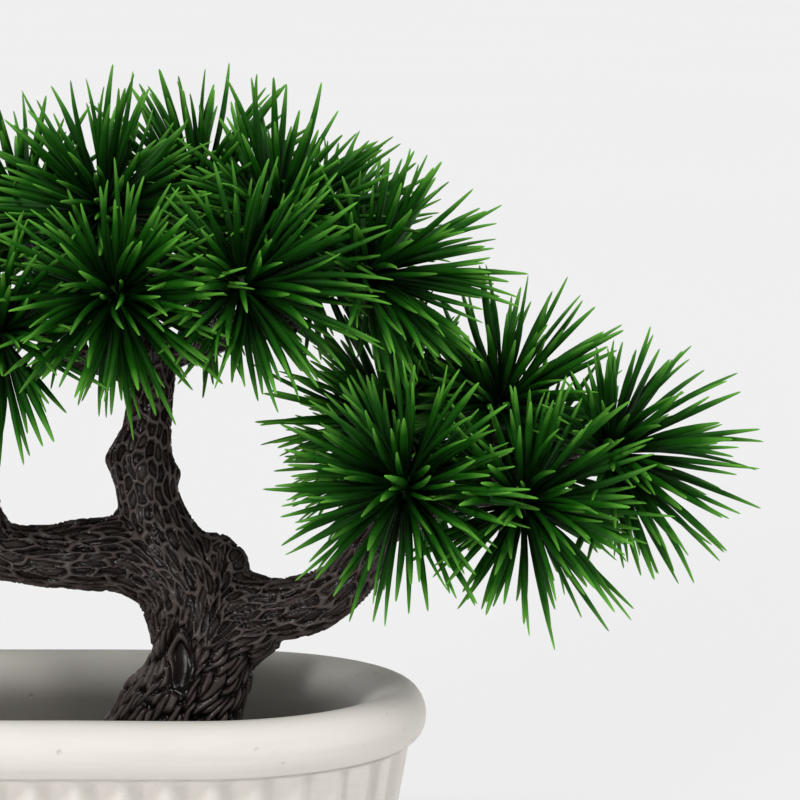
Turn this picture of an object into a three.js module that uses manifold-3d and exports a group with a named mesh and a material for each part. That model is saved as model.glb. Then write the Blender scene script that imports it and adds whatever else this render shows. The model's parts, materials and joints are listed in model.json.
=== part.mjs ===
// Artificial tabletop tree: a windswept bonsai pine in an oval fluted planter.
// Millimetres, +Z up. The origin is the centre of the planter's base, and its long side runs along X.
import * as THREE from 'three';
import { mergeVertices } from 'three/addons/utils/BufferGeometryUtils.js';
import Module from 'manifold-3d';

const wasm = await Module();
wasm.setup();

// ---- Driving dimensions ----
const GAP = 0.3; // clearance between pieces that touch
const WELD = 1e-4; // points closer than this are one
const ON_AXIS = 1e-3;
const PLANTER = {
  length: 212,
  depth: 123,
  rimLevel: 80, // height of the rim's widest level
  rimCrest: 8.5, // crest above the widest level
  rimOuter: 6.7, // crest inside the widest outline
  rimInner: 13.5, // crest to the inner wall
  rimDrop: 15, // crest down to where the inner wall starts
  creaseDrop: 7.1, // crease between rim and wall, below the widest level
  creaseInset: 4.7,
  wallSlope: Math.tan(THREE.MathUtils.degToRad(10)),
  boreSlope: Math.tan(THREE.MathUtils.degToRad(6)),
  floor: 10,
  foot: 3, // height of the plain foot under the fluted wall
  belly: 0.8, // the rim's underside, inside its widest outline
  sides: 44,
};
// Upright grooves part the planter's wall into reeds, with a reed at the middle of each long side.
const GROOVE = { count: 44, radius: 3.6, outside: 2.1, foot: 6, belowCrease: 1, sides: 10 };
const LINER = { top: 58, wall: 1.6, clearance: 1.0 };
const BALLAST = { top: 50 };
const GRAVEL = { top: 60 };
const ROD = { radius: 3, foot: [31, 2, 14], head: [41.5, 0, 100], sides: 12 };
const TWIG = { root: 1.7, elbow: 1.5, neck: 1.4, straight: 15.6, sides: 6, steps: 4 };
const PEG = { radius: 1.1, below: 7.5, above: 1.2, sides: 6 };
const BOSS = {
  radius: 4,
  footRadius: 3,
  domeRadius: 3,
  foot: -6,
  bore: 1.5,
  dome: 3.15,
  top: 4.5,
  sides: 6,
};
const NEEDLE = { count: 24, length: 40, radius: 0.9, start: 2.7, sides: 3 };
// Degrees from a head's axis where its needles are full, short and end, and the share of length they lose.
const SPREAD = { full: 30, short: 95, widest: 105, loss: 0.63 };

const MATERIAL = {
  ceramic: { color: 0xe9e2da, roughness: 0.75, metalness: 0 },
  liner: { color: 0x2a2a2a, roughness: 0.6, metalness: 0 },
  cement: { color: 0x8f8c86, roughness: 0.95, metalness: 0 },
  gravel: { color: 0x6e675f, roughness: 0.9, metalness: 0 },
  steel: { color: 0xa9adb0, roughness: 0.35, metalness: 1 },
  bark: { color: 0x3a2e2c, roughness: 0.45, metalness: 0 },
  needle: { color: 0x2f7a1f, roughness: 0.5, metalness: 0 },
};

// ---- Limbs: centre-line points with the radius at each, [x, y, z, radius] ----
const LIMBS = {
  middle: [
    [30, 2, 44, 28],
    [33, 2, 62, 25.5],
    [35.5, 1, 78, 19.5],
    [40, 0, 88, 16.8],
    [42.5, 0, 98, 15],
    [42, 0, 108, 14.3],
    [38, 0, 118, 13.6],
    [33, 0, 127, 11.4],
    [29.5, 0, 136, 9.2],
    [27.5, 0, 145, 8.4],
    [26.5, 0, 152, 9],
    [28, 0, 160, 6.8],
    [29, 1, 168, 6.2],
    [30.5, 2, 177, 5.6],
    [31.5, 2, 187, 4.6],
  ],
  left: [
    [38, 0, 118, 11],
    [23, -1, 123.5, 9.8],
    [12, -2, 124.7, 9.2],
    [0, -3, 124.8, 8.2],
    [-14, -4, 126.5, 7.6],
    [-28, -4, 128.5, 7],
    [-42, -4, 129.5, 6.2],
    [-54, -4, 133, 5],
  ],
  fork: [
    [-13, -4, 126, 6.5],
    [-18, -6, 137, 6.2],
    [-20, -8, 150, 5.2],
    [-23, -8, 164, 4.6],
    [-27, -7, 178, 3.8],
  ],
  right: [
    [41, 0, 112, 12.5],
    [54, -1, 109.8, 10.3],
    [64, -3, 109.8, 8.8],
    [74, -6, 112.4, 8.2],
    [82, -9, 117.5, 7.3],
    [88, -12, 125, 6.2],
    [92.5, -15, 132, 5.2],
    [95.5, -18, 138, 4.2],
  ],
  shoulder: [
    [38, 0, 116, 10],
    [43, 0, 121, 9.6],
    [48, 0, 124.5, 7.8],
    [52.5, 0, 127.2, 3.6],
  ],
};
const BOUGHS = {
  crown_left_bough: [
    [29, 1, 172, 3.4],
    [21, -1, 177, 3.4],
    [11, -4, 180, 3.2],
    [2, -8, 182, 2.8],
  ],
  crown_right_bough: [
    [31, 3, 178, 3.4],
    [43, 3, 183, 3.4],
    [57, 3, 187, 3.2],
    [70, 1, 190, 2.8],
  ],
  right_bough: [
    [92, -14, 131, 3.2],
    [103, -12, 137, 3.2],
    [117, -7, 142, 3],
    [129, -3, 145, 2.8],
  ],
  left_bough: [
    [-48, -4, 131, 3.2],
    [-58, -3, 136, 3.2],
    [-68, 0, 140, 3],
    [-76, 2, 142, 2.8],
  ],
};

// ---- Needle heads, listed under the piece that their twig grows from ----
// hub: the middle of the boss. axis: the way the head faces. root: where the twig starts.
const HEADS_ON = {
  trunk: {
    crown_top_front: { hub: [18, -12, 221], axis: [-0.15, -0.4, 0.9], root: [30.5, 2, 183] },
    crown_left: { hub: [-36, -4, 200], axis: [-0.85, 0, 0.5], root: [-26, -7, 175] },
    right_front: { hub: [100, -38, 149], axis: [-0.15, -0.92, 0.3], root: [95, -17.5, 137] },
  },
  crown_left_bough: {
    crown_front_left: { hub: [23, -42, 201], axis: [-0.1, -0.95, 0.2], root: [21, -1, 177] },
    crown_low_left: { hub: [-9, -34, 190], axis: [-0.6, -0.75, 0.1], root: [4, -7, 182] },
    crown_top_left: { hub: [-6, 10, 217], axis: [-0.45, 0.15, 0.85], root: [12, -3, 180] },
    crown_back_left: { hub: [10, 36, 202], axis: [-0.3, 0.9, 0.25], root: [16, -2, 179] },
  },
  crown_right_bough: {
    crown_front_right: { hub: [56, -36, 203], axis: [0.68, -0.65, 0.35], root: [50, 3, 185] },
    crown_top_back: { hub: [42, 12, 222], axis: [0, 0.2, 1], root: [43, 3, 183] },
    crown_top_right: { hub: [64, -8, 218], axis: [0.4, -0.25, 0.85], root: [59, 3, 187] },
    crown_right: { hub: [89, -13, 204], axis: [0.93, -0.15, 0.35], root: [69, 1, 190] },
    crown_back_right: { hub: [74, 28, 206], axis: [0.55, 0.75, 0.35], root: [64, 2, 188.5] },
    crown_back: { hub: [43, 40, 202], axis: [0.05, 0.95, 0.25], root: [37, 3, 181] },
  },
  right_bough: {
    right_low: { hub: [132, -26, 143], axis: [0.4, -0.88, 0.1], root: [114, -8, 141.2] },
    right_top: { hub: [126, 4, 166], axis: [0.05, 0.05, 1], root: [120, -6, 143] },
    right_tip: { hub: [156, -4, 154], axis: [0.97, -0.05, 0.2], root: [128, -3.5, 145] },
    right_top_left: { hub: [96, 10, 161], axis: [-0.5, 0.25, 0.8], root: [100, -12.5, 135.8] },
    right_back: { hub: [134, 30, 146], axis: [0.45, 0.88, 0.1], root: [125, -4, 144] },
    right_back_left: { hub: [101, 36, 147], axis: [-0.25, 0.96, 0.1], root: [106.5, -10.5, 138.5] },
  },
  left_bough: {
    left_front: { hub: [-62, -24, 150], axis: [0.1, -0.95, 0.3], root: [-59, -3, 136] },
    left_tip: { hub: [-96, -6, 150], axis: [-0.95, -0.2, 0.2], root: [-75, 2, 142] },
    left_top: { hub: [-74, 8, 164], axis: [-0.2, 0.1, 0.97], root: [-70, 1, 140.5] },
    left_back: { hub: [-66, 34, 148], axis: [0, 0.97, 0.2], root: [-64, -1, 138.5] },
  },
};

// ---- Joining and cutting closed meshes ----
function solidOf(geometry) {
  const bare = geometry.clone();
  bare.deleteAttribute('normal');
  bare.deleteAttribute('uv');
  const merged = mergeVertices(bare, WELD);
  const index = merged.index.array;
  const corners = [];
  for (let i = 0; i < index.length; i += 3) {
    const [a, b, c] = [index[i], index[i + 1], index[i + 2]];
    if (a !== b && b !== c && c !== a) corners.push(a, b, c);
  }
  const vertProperties = new Float32Array(merged.attributes.position.array);
  const triVerts = new Uint32Array(corners);
  return new wasm.Manifold(new wasm.Mesh({ numProp: 3, vertProperties, triVerts }));
}

function geometryOf(solid) {
  const mesh = solid.getMesh();
  const geometry = new THREE.BufferGeometry();
  geometry.setAttribute('position', new THREE.BufferAttribute(mesh.vertProperties, 3));
  geometry.setIndex(new THREE.BufferAttribute(mesh.triVerts, 1));
  geometry.computeVertexNormals();
  return geometry;
}

// ---- Shapes ----
function turned(outline, sides, phase = 0) {
  const profile = outline.map(([radius, height]) => new THREE.Vector2(radius, height));
  return new THREE.LatheGeometry(profile, sides, phase).rotateX(Math.PI / 2);
}

// A turned shape pulled apart along X, which gives an oval with straight long sides.
function oval(outline, halfStraight, sides) {
  const geometry = turned(outline, sides, Math.PI / sides);
  const position = geometry.attributes.position;
  for (let i = 0; i < position.count; i += 1) {
    const x = position.getX(i);
    if (Math.abs(x) > ON_AXIS) position.setX(i, x + Math.sign(x) * halfStraight);
  }
  return geometry;
}

// A round tube that follows the stations' centre line and swells or tapers to their radii.
// With grow it is that much fatter and longer, which makes the hole that the plain tube fits.
function taperedTube(stations, steps, sides, grow = 0) {
  const path = new THREE.CatmullRomCurve3(stations.map(([x, y, z]) => new THREE.Vector3(x, y, z)));
  const radii = stations.map(([, , , radius], i) => new THREE.Vector3(radius, i, 0));
  const girth = new THREE.CatmullRomCurve3(radii);
  const outline = [[0, 0]];
  for (let ring = 0; ring <= steps; ring += 1) {
    const along = path.getUtoTmapping(ring / steps);
    outline.push([girth.getPoint(along).x + grow, ring]);
  }
  outline.push([0, steps]);
  const tube = new THREE.LatheGeometry(outline.map(([x, y]) => new THREE.Vector2(x, y)), sides);
  const frames = path.computeFrenetFrames(steps);
  const position = tube.attributes.position;
  const point = new THREE.Vector3();
  for (let i = 0; i < position.count; i += 1) {
    const ring = Math.round(position.getY(i));
    path.getPointAt(ring / steps, point);
    if (ring === 0) point.addScaledVector(frames.tangents[ring], -grow);
    if (ring === steps) point.addScaledVector(frames.tangents[ring], grow);
    point.addScaledVector(frames.normals[ring], position.getX(i));
    point.addScaledVector(frames.binormals[ring], -position.getZ(i));
    position.setXYZ(i, point.x, point.y, point.z);
  }
  return tube;
}

// A straight round bar between two points.
function bar(from, to, radius, sides) {
  const start = new THREE.Vector3(...from);
  const end = new THREE.Vector3(...to);
  const along = end.clone().sub(start);
  const geometry = new THREE.CylinderGeometry(radius, radius, along.length(), sides);
  const turn = new THREE.Quaternion().setFromUnitVectors(new THREE.Vector3(0, 1, 0), along.normalize());
  const centre = start.add(end).multiplyScalar(0.5);
  return geometry.applyQuaternion(turn).translate(centre.x, centre.y, centre.z);
}

// ---- Planter and what stands in it ----
const halfStraight = (PLANTER.length - PLANTER.depth) / 2;
const endRadius = PLANTER.depth / 2;
const crestHeight = PLANTER.rimLevel + PLANTER.rimCrest;
const creaseHeight = PLANTER.rimLevel - PLANTER.creaseDrop;
const innerTop = crestHeight - PLANTER.rimDrop;

// Radius of the inner wall in the round ends, at a given height.
function boreRadius(height) {
  return endRadius - PLANTER.rimOuter - PLANTER.rimInner - (innerTop - height) * PLANTER.boreSlope;
}

function quarterArc(centreX, centreY, radiusX, radiusY, from, steps) {
  const points = [];
  for (let i = 0; i <= steps; i += 1) {
    const angle = from + (i / steps) * (Math.PI / 2);
    points.push([centreX + radiusX * Math.cos(angle), centreY + radiusY * Math.sin(angle)]);
  }
  return points;
}

// Radius of the outer wall in the round ends, at a given height.
function wallRadius(height) {
  return endRadius - PLANTER.creaseInset - (creaseHeight - height) * PLANTER.wallSlope;
}

// A point off the oval wall: how far round the oval from the middle of the front, as a share of the
// whole way round, at a given height and distance out from the wall.
function besideWall(share, height, outside) {
  const arc = Math.PI * wallRadius(creaseHeight);
  const round = 4 * halfStraight + 2 * arc;
  const half = share < 0.5 ? 1 : -1;
  const travelled = half > 0 ? share * round : (share - 0.5) * round;
  const radius = wallRadius(height) + outside;
  if (travelled < halfStraight) return [half * travelled, -half * radius, height];
  const left = 2 * halfStraight + arc - travelled;
  if (left < halfStraight) return [half * left, half * radius, height];
  const angle = ((travelled - halfStraight) / arc - 0.5) * Math.PI;
  return [half * (halfStraight + radius * Math.cos(angle)), half * radius * Math.sin(angle), height];
}

function planter() {
  const crestRadius = endRadius - PLANTER.rimOuter;
  const creaseRadius = wallRadius(creaseHeight);
  const footRadius = wallRadius(PLANTER.foot);
  const outline = [
    [0, 0],
    [footRadius - PLANTER.foot / 2, 0],
    [footRadius, PLANTER.foot],
    [creaseRadius, creaseHeight],
    [endRadius - PLANTER.belly, PLANTER.rimLevel - PLANTER.creaseDrop / 2],
    ...quarterArc(crestRadius, PLANTER.rimLevel, PLANTER.rimOuter, PLANTER.rimCrest, 0, 4),
    ...quarterArc(crestRadius, innerTop, PLANTER.rimInner, PLANTER.rimDrop, Math.PI / 2, 4).slice(1),
    [boreRadius(PLANTER.floor), PLANTER.floor],
    [0, PLANTER.floor],
  ];
  let solid = solidOf(oval(outline, halfStraight, PLANTER.sides));
  for (let i = 0; i < GROOVE.count; i += 1) {
    const share = (i + 0.5) / GROOVE.count;
    const foot = besideWall(share, GROOVE.foot, GROOVE.outside);
    const top = besideWall(share, creaseHeight - GROOVE.belowCrease, GROOVE.outside);
    solid = solid.subtract(solidOf(bar(foot, top, GROOVE.radius, GROOVE.sides)));
  }
  return geometryOf(solid);
}

// Radius of the liner's outside at a given height: it follows the planter's bore with a clearance.
function linerRadius(height) {
  return boreRadius(height) - LINER.clearance;
}

const linerFoot = PLANTER.floor + GAP;
const ballastFoot = linerFoot + LINER.wall + GAP;

function liner() {
  const inside = LINER.wall;
  const outline = [
    [0, linerFoot],
    [linerRadius(linerFoot), linerFoot],
    [linerRadius(LINER.top), LINER.top],
    [linerRadius(LINER.top) - inside, LINER.top],
    [linerRadius(linerFoot) - inside, linerFoot + inside],
    [0, linerFoot + inside],
  ];
  return oval(outline, halfStraight, PLANTER.sides);
}

function fillLayer(bottom, top, edgeInset) {
  const outline = [
    [0, bottom],
    [linerRadius(bottom) - edgeInset, bottom],
    [linerRadius(top) - edgeInset, top],
    [0, top],
  ];
  return solidOf(oval(outline, halfStraight, PLANTER.sides));
}

// ---- Tree ----
const MIDDLE_STEPS = 20;
const LIMB_STEPS = { left: 9, fork: 5, right: 9, shoulder: 4 };
const LIMB_SIDES = 10;
const BOUGH_STEPS = 5;
const BOUGH_SIDES = 8;

// The steel pin, or with grow the hole that it fits.
function rod(grow) {
  return solidOf(bar(ROD.foot, ROD.head, ROD.radius + grow, ROD.sides));
}

function limbSolid(grow) {
  let solid = solidOf(taperedTube(LIMBS.middle, MIDDLE_STEPS, LIMB_SIDES, grow));
  for (const [name, steps] of Object.entries(LIMB_STEPS)) {
    solid = solid.add(solidOf(taperedTube(LIMBS[name], steps, LIMB_SIDES, grow)));
  }
  return solid;
}

function axisOf(head) {
  return new THREE.Vector3(...head.axis).normalize();
}

function alongAxis(head, distance) {
  return new THREE.Vector3(...head.hub).addScaledVector(axisOf(head), distance).toArray();
}

// A twig runs from its root to just under the needle head's boss, and ends in a slimmer peg inside it.
function twigSolid(head, grow) {
  const stations = [
    [...head.root, TWIG.root],
    [...alongAxis(head, -TWIG.straight), TWIG.elbow],
    [...alongAxis(head, BOSS.foot - GAP), TWIG.neck],
  ];
  const stem = solidOf(taperedTube(stations, TWIG.steps, TWIG.sides, grow));
  const peg = bar(alongAxis(head, -PEG.below), alongAxis(head, PEG.above), PEG.radius, PEG.sides);
  return stem.add(solidOf(peg));
}

function boughSolid(name, grow) {
  return solidOf(taperedTube(BOUGHS[name], BOUGH_STEPS, BOUGH_SIDES, grow));
}

// Cuts a socket for every twig and bough that plugs into the host.
function socketed(host, hostName) {
  let solid = host;
  for (const head of Object.values(HEADS_ON[hostName])) solid = solid.subtract(twigSolid(head, GAP));
  return solid;
}

function trunk() {
  let solid = limbSolid(0);
  for (const name of Object.keys(BOUGHS)) solid = solid.subtract(boughSolid(name, GAP));
  return geometryOf(socketed(solid.subtract(rod(GAP)), 'trunk'));
}

// ---- Needle head: a boss with a blind socket, and needles that fan out from it ----
// Needles near the axis have their full length, and those at the sides are shorter.
function needleReach(polar) {
  const fade = THREE.MathUtils.smoothstep(THREE.MathUtils.radToDeg(polar), SPREAD.full, SPREAD.short);
  return NEEDLE.length * (1 - SPREAD.loss * fade);
}

function needleHead() {
  const socket = PEG.radius + GAP;
  let solid = solidOf(turned([
    [0, BOSS.bore],
    [socket, BOSS.bore],
    [socket, BOSS.foot],
    [BOSS.footRadius, BOSS.foot],
    [BOSS.radius, 0],
    [BOSS.domeRadius, BOSS.dome],
    [0, BOSS.top],
  ], BOSS.sides));
  const goldenAngle = Math.PI * (3 - Math.sqrt(5));
  const lowest = Math.cos(THREE.MathUtils.degToRad(SPREAD.widest));
  const coneAxis = new THREE.Vector3(0, 1, 0);
  const turn = new THREE.Quaternion();
  for (let i = 0; i < NEEDLE.count; i += 1) {
    const polar = Math.acos(1 - (1 - lowest) * ((i + 0.5) / NEEDLE.count));
    const direction = new THREE.Vector3().setFromSphericalCoords(1, polar, i * goldenAngle);
    const length = needleReach(polar) - NEEDLE.start;
    const needle = new THREE.ConeGeometry(NEEDLE.radius, length, NEEDLE.sides);
    needle.translate(0, length / 2 + NEEDLE.start, 0);
    needle.applyQuaternion(turn.setFromUnitVectors(coneAxis, direction));
    needle.rotateX(Math.PI / 2);
    solid = solid.add(solidOf(needle));
  }
  return geometryOf(solid);
}

// ---- Assembly ----
function piece(name, geometry, look) {
  const mesh = new THREE.Mesh(geometry, new THREE.MeshStandardMaterial(MATERIAL[look]));
  mesh.name = name;
  return mesh;
}

const tree = new THREE.Group();
const swollenTrunk = limbSolid(GAP);
const ballast = fillLayer(ballastFoot, BALLAST.top, LINER.wall + GAP)
  .subtract(swollenTrunk)
  .subtract(rod(GAP));
const gravel = fillLayer(BALLAST.top + GAP, GRAVEL.top, LINER.wall + GAP).subtract(swollenTrunk);
tree.add(piece('liner_tub', liner(), 'liner'));
tree.add(piece('cement_ballast', geometryOf(ballast), 'cement'));
tree.add(piece('gravel_dressing', geometryOf(gravel), 'gravel'));
tree.add(piece('core_rod', geometryOf(rod(0)), 'steel'));
tree.add(piece('trunk', trunk(), 'bark'));
for (const name of Object.keys(BOUGHS)) {
  tree.add(piece(name, geometryOf(socketed(boughSolid(name, 0), name)), 'bark'));
}
const headGeometry = needleHead();
for (const [name, head] of Object.values(HEADS_ON).flatMap(Object.entries)) {
  tree.add(piece(`twig_${name}`, geometryOf(twigSolid(head, 0)), 'bark'));
  const needles = piece(`needles_${name}`, headGeometry, 'needle');
  needles.position.set(...head.hub);
  needles.quaternion.setFromUnitVectors(new THREE.Vector3(0, 0, 1), axisOf(head));
  tree.add(needles);
}

const model = new THREE.Group();
model.add(piece('planter', planter(), 'ceramic'));
model.add(tree);

export default model;
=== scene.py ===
import json
import math
import random

import bmesh
import bpy
import numpy as np
from mathutils import Matrix, Vector, kdtree, noise


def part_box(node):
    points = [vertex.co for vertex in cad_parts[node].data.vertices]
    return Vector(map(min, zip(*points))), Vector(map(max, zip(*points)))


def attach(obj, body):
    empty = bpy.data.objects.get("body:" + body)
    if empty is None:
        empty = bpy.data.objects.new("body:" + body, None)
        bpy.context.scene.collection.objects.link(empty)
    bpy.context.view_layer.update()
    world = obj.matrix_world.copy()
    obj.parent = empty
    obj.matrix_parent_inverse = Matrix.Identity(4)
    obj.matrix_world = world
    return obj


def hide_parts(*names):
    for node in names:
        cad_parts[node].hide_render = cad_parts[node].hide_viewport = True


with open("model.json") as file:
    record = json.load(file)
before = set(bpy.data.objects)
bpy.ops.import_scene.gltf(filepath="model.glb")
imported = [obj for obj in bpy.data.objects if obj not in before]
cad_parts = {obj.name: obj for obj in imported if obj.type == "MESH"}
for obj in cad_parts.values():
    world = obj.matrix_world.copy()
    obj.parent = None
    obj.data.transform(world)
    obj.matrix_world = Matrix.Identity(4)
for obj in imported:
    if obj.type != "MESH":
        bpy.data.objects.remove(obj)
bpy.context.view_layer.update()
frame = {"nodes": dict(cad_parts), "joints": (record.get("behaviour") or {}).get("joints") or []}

MM = 0.001
joints = {joint["name"]: joint for joint in frame["joints"]}
HEAD_JOINT = "swivel_"
head_names = [name[len(HEAD_JOINT):] for name in joints if name.startswith(HEAD_JOINT)]

# ---- Planter, from the CAD node's box ----
planter_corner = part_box("planter")[1]
END_RADIUS = planter_corner.y
HALF_STRAIGHT = planter_corner.x - END_RADIUS
CREST = planter_corner.z
RIM_CREST = 8.5 * MM  # crest above the rim's widest level
RIM_OUTER = 6.7 * MM  # crest inside the widest outline
RIM_INNER = 13.5 * MM  # crest to the inner wall
RIM_DROP = 15 * MM  # crest down to where the inner wall starts
WIDEST_LEVEL = CREST - RIM_CREST
CREASE_DROP = 7.1 * MM  # the rim's widest level down to the crease between rim and wall
CREASE_LEVEL = WIDEST_LEVEL - CREASE_DROP
CREASE_INSET = 4.7 * MM
CREASE_NICK = 0.7 * MM  # the crease cuts in this much behind the wall
UNDERSIDE_DROP = 0.93 * CREASE_DROP  # height of the rim's rounded underside
WALL_SLOPE = math.tan(math.radians(10))
BORE_TOP = CREST - RIM_DROP
BORE_SLOPE = math.tan(math.radians(6))
POT_FLOOR = 10 * MM
FOOT = 3 * MM
FOOT_BEVEL = 0.4 * MM
THROWING_SWELL = 0.25 * MM  # unevenness of the thrown wall
THROWING_WAVES = (26, 26, 60)  # waves to the metre in X, Y and Z
REEDS = 44
REED_PITCH = (4 * HALF_STRAIGHT + 2 * math.pi * (END_RADIUS - CREASE_INSET)) / REEDS
COLUMNS_PER_REED = 16
GROOVE_DEPTH = 3.1 * MM
GROOVE_START = 1.2 * MM  # the grooves deepen over this height below the crease
GROOVE_END = 4 * MM  # and run out over this height above the foot
# Shares of the wall's height, closer together at its ends.
WALL_LEVELS = (0.02, 0.05, 0.1, 0.2, 0.35, 0.5, 0.65, 0.8, 0.9, 0.94, 0.965, 0.985)

# ---- Fill ----
TUB_GAP = 1.0 * MM  # between the planter's inner wall and the tub
TUB_WALL = 1.6 * MM
TUB_FOOT = 1.0 * MM  # bevel round the tub's foot
TUB_CORNER = 0.4 * MM  # fillet between its floor and its wall
TUB_LIP = 0.3 * MM  # height of its rounded lip
TUB_LIP_EDGE = 0.2 * MM
PEBBLE_RADII = (1.5, 2.5)  # millimetres
PEBBLE_TRIES = 9000
PEBBLE_CLOSENESS = 0.86  # least distance between two pebbles, as a share of their radii together
PEBBLE_LUMPS = 0.28  # unevenness of a pebble, as a share of its radius
PEBBLE_LUMP_SCALE = 420  # lumps to the metre
GRAVEL_GAP = 3.2 * MM  # between the planter's inner wall and the gravel
GRAVEL_BED = 2.6 * MM  # the bed lies this far below the pebbles' tops
TRUNK_CLEARANCE = 0.6 * MM

# ---- Limbs: centre-line points and radius, in millimetres ----
LIMBS = {
    "middle": [
        (30, 2, 44, 28), (33, 2, 62, 25), (36.5, 1, 78, 18.6), (40.8, 0, 88, 15.6), (43, 0, 98, 14.3),
        (42, 0, 108, 14.3), (38, 0, 118, 13.6), (33, 0, 127, 11.4), (29.5, 0, 136, 9.2), (27.5, 0, 145, 8.4),
        (26.5, 0, 152, 9), (28, 0, 160, 6.8), (29, 1, 168, 6.2), (30.5, 2, 177, 5.6), (31.5, 2, 187, 4.6),
    ],
    "left": [
        (38, 0, 118, 11), (22.5, -1, 125, 10.6), (12, -2, 125.3, 9.9), (0, -3, 124.9, 8.5),
        (-14, -4, 126.5, 7.6), (-28, -4, 128.5, 7), (-42, -4, 129.5, 6.2), (-54, -4, 133, 5),
    ],
    "fork": [
        (-13, -4, 126, 6.5), (-18, -6, 137, 6.2), (-20, -8, 150, 5.2), (-23, -8, 164, 4.6), (-27, -7, 178, 3.8),
    ],
    "right": [
        (41, 0, 112, 12.5), (54, -1, 109.8, 10.3), (64, -3, 109.8, 8.8), (74, -6, 112.4, 8.2),
        (82, -9, 117.5, 7.3), (88, -12, 125, 6.2), (92.5, -15, 132, 5.2), (95.5, -18, 138, 4.2),
    ],
    "shoulder": [(38, 0, 116, 10), (43, 0, 121, 9.8), (47.5, 0, 124.8, 7.6), (52, 0, 127.6, 3.8)],
    "gusset": [(44, 0, 97, 12.5), (52, -1, 102.5, 10.6), (61, -2.5, 107, 9.2)],
}
BOUGHS = {
    "crown_left_bough": [(29, 1, 172, 3.4), (21, -1, 177, 3.4), (11, -4, 180, 3.2), (2, -8, 182, 2.8)],
    "crown_right_bough": [(31, 3, 178, 3.4), (43, 3, 183, 3.4), (57, 3, 187, 3.2), (70, 1, 190, 2.8)],
    "right_bough": [(92, -14, 131, 3.2), (103, -12, 137, 3.2), (117, -7, 142, 3), (129, -3, 145, 2.8)],
    "left_bough": [(-48, -4, 131, 3.2), (-58, -3, 136, 3.2), (-68, 0, 140, 3), (-76, 2, 142, 2.8)],
}
# Knobs left by pruned shoots: centre and radius.
KNOBS = [
    (20.6, 0, 152, 4.3), (33.4, -1, 147.8, 4.2), (25, -4, 157, 3.8), (31, 0, 140, 4.5), (49, 0, 122, 7),
    (21, 0, 132, 5.5),
]

TUBE_SIDES = 20
LINE_SPACING = 1.5 * MM
COARSE_VOXELS = 1.8  # size of the voxels that melt the limbs together, against those of the finished skin
SKIN_BLEND = 2.2 * MM  # two limbs share the bark's direction over this distance

# ---- Bark ----
# Cells: length along the limb, width across it and relief height in millimetres, and how far they are
# hollow with ridges round them (1) or raised like pillows (0).
TRUNK_BARK = {"length": 8.4, "width": 1.6, "height": 1.7, "ridged": 0.0}
LIMB_BARK = {"length": 9.4, "width": 1.8, "height": 1.35, "ridged": 1.0}
MIDDLE_BARK = {"length": 5.0, "width": 2.2, "height": 0.75, "ridged": 1.0}
BOUGH_BARK = {"length": 4.5, "width": 1.7, "height": 0.3, "ridged": 1.0}
# Where the trunk's bark changes, in millimetres: the pillows end, the limb bark ends, and how gently.
PILLOWS = {"top": 105, "sway": 12, "sway_scale": 60, "blend": 1.2}
LIMB_PATTERN = {"top": 136, "blend": 8}
# Below the right limb the bark leans over towards it: from this X on, and up to this height.
LEAN = {"start": 38, "across": 9, "top": 112, "up": 10, "most": 0.9}
# Oval scar on the trunk's front: centre and half sizes in X and Z in millimetres, and how far it reaches,
# how high its dome is and how uneven its outline is, as shares of its half sizes or of the relief.
SCAR = {
    "centre": (37.5, 97), "half": (2.7, 6.2), "reach": 1.75, "dome": 0.3, "wobble": 0.34, "wobble_scale": 160,
}
SEED_TRIES = 16000
CELL_SQUARENESS = 4  # the power that shapes a cell: 2 is an ellipse, more is squarer
CELL_SPACING = 0.5 ** (1 / CELL_SQUARENESS)  # least distance between two cells' middles
CELL_NEIGHBOURS = 26
CELL_SWERVE = 0.13  # how far a cell turns from the limb's direction
CELL_WOBBLE = 0.5 * MM  # unevenness of a cell's outline
CELL_WOBBLE_SCALE = 230
CELL_LIFTS = (0.72, 1.0)
HOLLOW_DOME = 0.42
BARK_MEAN = 0.62  # the relief that leaves the skin where it is
BARK_LUMPS = 0.5  # unevenness under the cells, as a share of their height
BARK_LUMP_SCALE = 95

# ---- Needles ----
NEEDLES_PER_HEAD = 132
NEEDLE_LENGTH = 40 * MM
NEEDLE_LENGTHS = (0.78, 1.12)
NEEDLE_HALF_WIDTH = 1.02 * MM
NEEDLE_WIDTHS = (0.8, 1.2)
NEEDLE_THICK = 0.75  # thickness as a share of the breadth
NEEDLE_BENDS = (0.02, 0.2)
NEEDLE_DROOP = Vector((0, 0, 0.06))
NEEDLE_LEVEL = 0.3  # how far a needle's flat side turns towards the vertical
NEEDLE_SHORTENING = 0.2  # how much shorter the needles behind the boss are
NEEDLE_ROOT = 0.04  # the needle starts at this share of its length from the hub
NEEDLE_STATIONS = (0.0, 0.15, 0.32, 0.48, 0.64, 0.8, 0.92, 0.98, 1.0)
NEEDLE_SWELL = (0.5, 0.68, 0.87, 1.0, 0.97, 0.76, 0.48, 0.3, 0.08)
NEEDLE_SIDES = 6
WIDEST_POLAR = math.radians(106)
GOLDEN_ANGLE = math.pi * (3 - math.sqrt(5))
POLAR_SCATTER = 0.14
AZIMUTH_SCATTER = 0.5
BOSS_OUTLINE = [(0.5, -6), (2.9, -6), (3.7, -4), (3.9, -1), (3.5, 1.6), (2.4, 3.6), (0.01, 4.5)]
BOSS_SIDES = 14
BOSS_ALONG = 0.05  # the boss takes the colour at this share of a needle's length: near black, as painted shade
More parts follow.
